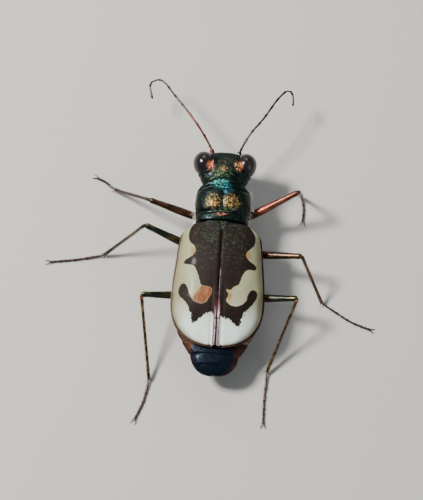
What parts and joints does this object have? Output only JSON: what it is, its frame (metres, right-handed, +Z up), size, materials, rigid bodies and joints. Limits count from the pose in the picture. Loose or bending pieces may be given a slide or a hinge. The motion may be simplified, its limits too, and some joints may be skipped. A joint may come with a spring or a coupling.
{
  "type": "tiger beetle",
  "caption": "Life-size still model of a big sand tiger beetle standing on its feet, with broad cream wing cases marked in brown, bulging eyes, long legs and feelers",
  "frame": {"origin": "middle of the footprint of the whole animal, on the floor under its feet", "axes": "+Z up, the head points to -Y, the beetle's left side is +X"},
  "size_m": [0.0258, 0.027, 0.0052],
  "materials": {
    "cream_elytra": "smooth waxy cream cuticle with chocolate brown markings",
    "copper_cuticle": "finely wrinkled cuticle with a green and copper shine",
    "green_cuticle": "finely wrinkled dark cuticle with a green and blue shine",
    "brown_belly": "smooth brown cuticle",
    "ivory_labrum": "ivory cuticle with dark tips",
    "dark_eye": "glossy, nearly black, very fine facets",
    "bronze_limb": "glossy bronze cuticle with white bristles",
    "purple_feeler": "dark purple-brown cuticle"
  },
  "bodies": {
    "root": {"elytron_left": "cream_elytra", "elytron_right": "cream_elytra", "prothorax": "copper_cuticle", "scutellum": "copper_cuticle", "head": "green_cuticle", "thorax": "green_cuticle", "abdomen_tip": "green_cuticle", "abdomen": "brown_belly", "labrum": "ivory_labrum", "mandible_left": "ivory_labrum", "mandible_right": "ivory_labrum", "eye_left": "dark_eye", "eye_right": "dark_eye", "maxillary_palp_left": "purple_feeler", "maxillary_palp_right": "purple_feeler", "labial_palp_left": "purple_feeler", "labial_palp_right": "purple_feeler", "antenna_left": "purple_feeler", "antenna_right": "purple_feeler", "coxa_front_left": "bronze_limb", "coxa_front_right": "bronze_limb", "coxa_mid_left": "bronze_limb", "coxa_mid_right": "bronze_limb", "coxa_hind_left": "bronze_limb", "coxa_hind_right": "bronze_limb", "femur_front_left": "bronze_limb", "femur_front_right": "bronze_limb", "femur_mid_left": "bronze_limb", "femur_mid_right": "bronze_limb", "femur_hind_left": "bronze_limb", "femur_hind_right": "bronze_limb", "tibia_front_left": "bronze_limb", "tibia_front_right": "bronze_limb", "tibia_mid_left": "bronze_limb", "tibia_mid_right": "bronze_limb", "tibia_hind_left": "bronze_limb", "tibia_hind_right": "bronze_limb", "tarsus_front_left": "purple_feeler", "tarsus_front_right": "purple_feeler", "tarsus_mid_left": "purple_feeler", "tarsus_mid_right": "purple_feeler", "tarsus_hind_left": "purple_feeler", "tarsus_hind_right": "purple_feeler"}
  },
  "joints": []
}
